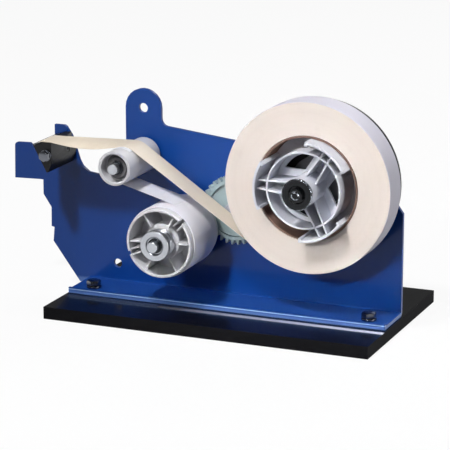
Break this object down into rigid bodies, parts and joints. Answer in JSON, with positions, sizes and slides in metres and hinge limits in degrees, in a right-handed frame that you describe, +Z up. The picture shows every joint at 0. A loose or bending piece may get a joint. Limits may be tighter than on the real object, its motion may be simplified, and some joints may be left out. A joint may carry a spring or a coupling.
{
  "type": "tape dispenser",
  "caption": "Tape dispenser on a board: a roll hub geared to a liner take-up drum, an idler roller and a toothed cutter block on an upright sheet.",
  "frame": {"origin": "middle of the base board's underside", "axes": "+X along the board from the cutter towards the roll, +Y to the back, +Z up; the upright wall's front face is the plane Y = 0"},
  "size_m": [0.3277, 0.158, 0.1778],
  "materials": {
    "board": "semi-gloss black",
    "blue_paint": "gloss blue paint",
    "white_plastic": "moulded, satin",
    "grey_plastic": "moulded, satin",
    "nylon": "moulded nylon",
    "steel": "turned and plated",
    "black_steel": "black oxide",
    "black_block": "black anodised",
    "black_disc": "matt black",
    "felt": "felt",
    "card": "wound card",
    "tape": "satin film",
    "liner": "satin paper"
  },
  "bodies": {
    "frame": {"base_board": "board", "frame_wall": "blue_paint", "base_bolt_left": "steel", "base_bolt_right": "steel", "base_washer_left": "steel", "base_washer_right": "steel", "base_nut_left": "steel", "base_nut_right": "steel", "supply_shaft": "steel", "hub_cap_washer": "black_steel", "hub_cap_nut": "black_steel", "supply_shaft_washer": "steel", "supply_shaft_nut": "steel", "transfer_stud": "steel", "transfer_clip": "steel", "transfer_stud_washer": "steel", "transfer_stud_nut": "steel", "take_up_shaft": "steel", "take_up_clip": "steel", "take_up_shaft_washer": "steel", "take_up_shaft_nut": "steel", "idler_shaft": "steel", "idler_clip": "steel", "idler_shaft_washer": "steel", "idler_shaft_nut": "steel", "cutter_block": "black_block", "cutter_blade": "steel", "blade_screw_front": "steel", "blade_screw_rear": "steel", "block_bolt": "steel", "block_bolt_washer": "steel", "block_bolt_nut": "steel", "block_rear_screw": "steel", "block_side_screw": "black_steel", "tape_web": "tape", "liner_web": "liner"},
    "supply": {"supply_gear": "nylon", "backing_disc": "black_disc", "supply_hub": "grey_plastic", "tape_core": "card", "tape_roll": "tape"},
    "transfer": {"transfer_gear": "nylon"},
    "take_up_drive": {"take_up_gear": "nylon", "clutch_washer": "felt", "clutch_spring": "steel", "clutch_collar": "steel"},
    "take_up": {"take_up_drum": "white_plastic", "wound_liner": "liner"},
    "idler": {"idler_roller": "white_plastic"}
  },
  "joints": [
    {"name": "supply_spin", "type": "hinge", "parent": "frame", "child": "supply", "pos_m": [0.06938, -0.03, 0.113], "axis": [0, 1, 0], "continuous": true},
    {"name": "transfer_spin", "type": "hinge", "parent": "frame", "child": "transfer", "pos_m": [-0.00211, -0.007, 0.0818], "axis": [0, 1, 0], "continuous": true},
    {"name": "take_up_drive_spin", "type": "hinge", "parent": "frame", "child": "take_up_drive", "pos_m": [-0.0406, -0.03, 0.065], "axis": [0, 1, 0], "continuous": true},
    {"name": "clutch_slip", "type": "hinge", "parent": "take_up_drive", "child": "take_up", "pos_m": [-0.0406, -0.03, 0.065], "axis": [0, 1, 0], "continuous": true},
    {"name": "idler_spin", "type": "hinge", "parent": "frame", "child": "idler", "pos_m": [-0.0789, -0.03, 0.1182], "axis": [0, 1, 0], "continuous": true}
  ],
  "couplings": [
    {"joint": "transfer_spin", "follows": "supply_spin", "ratio": -2.0588},
    {"joint": "take_up_drive_spin", "follows": "supply_spin", "ratio": 3.1818}
  ]
}
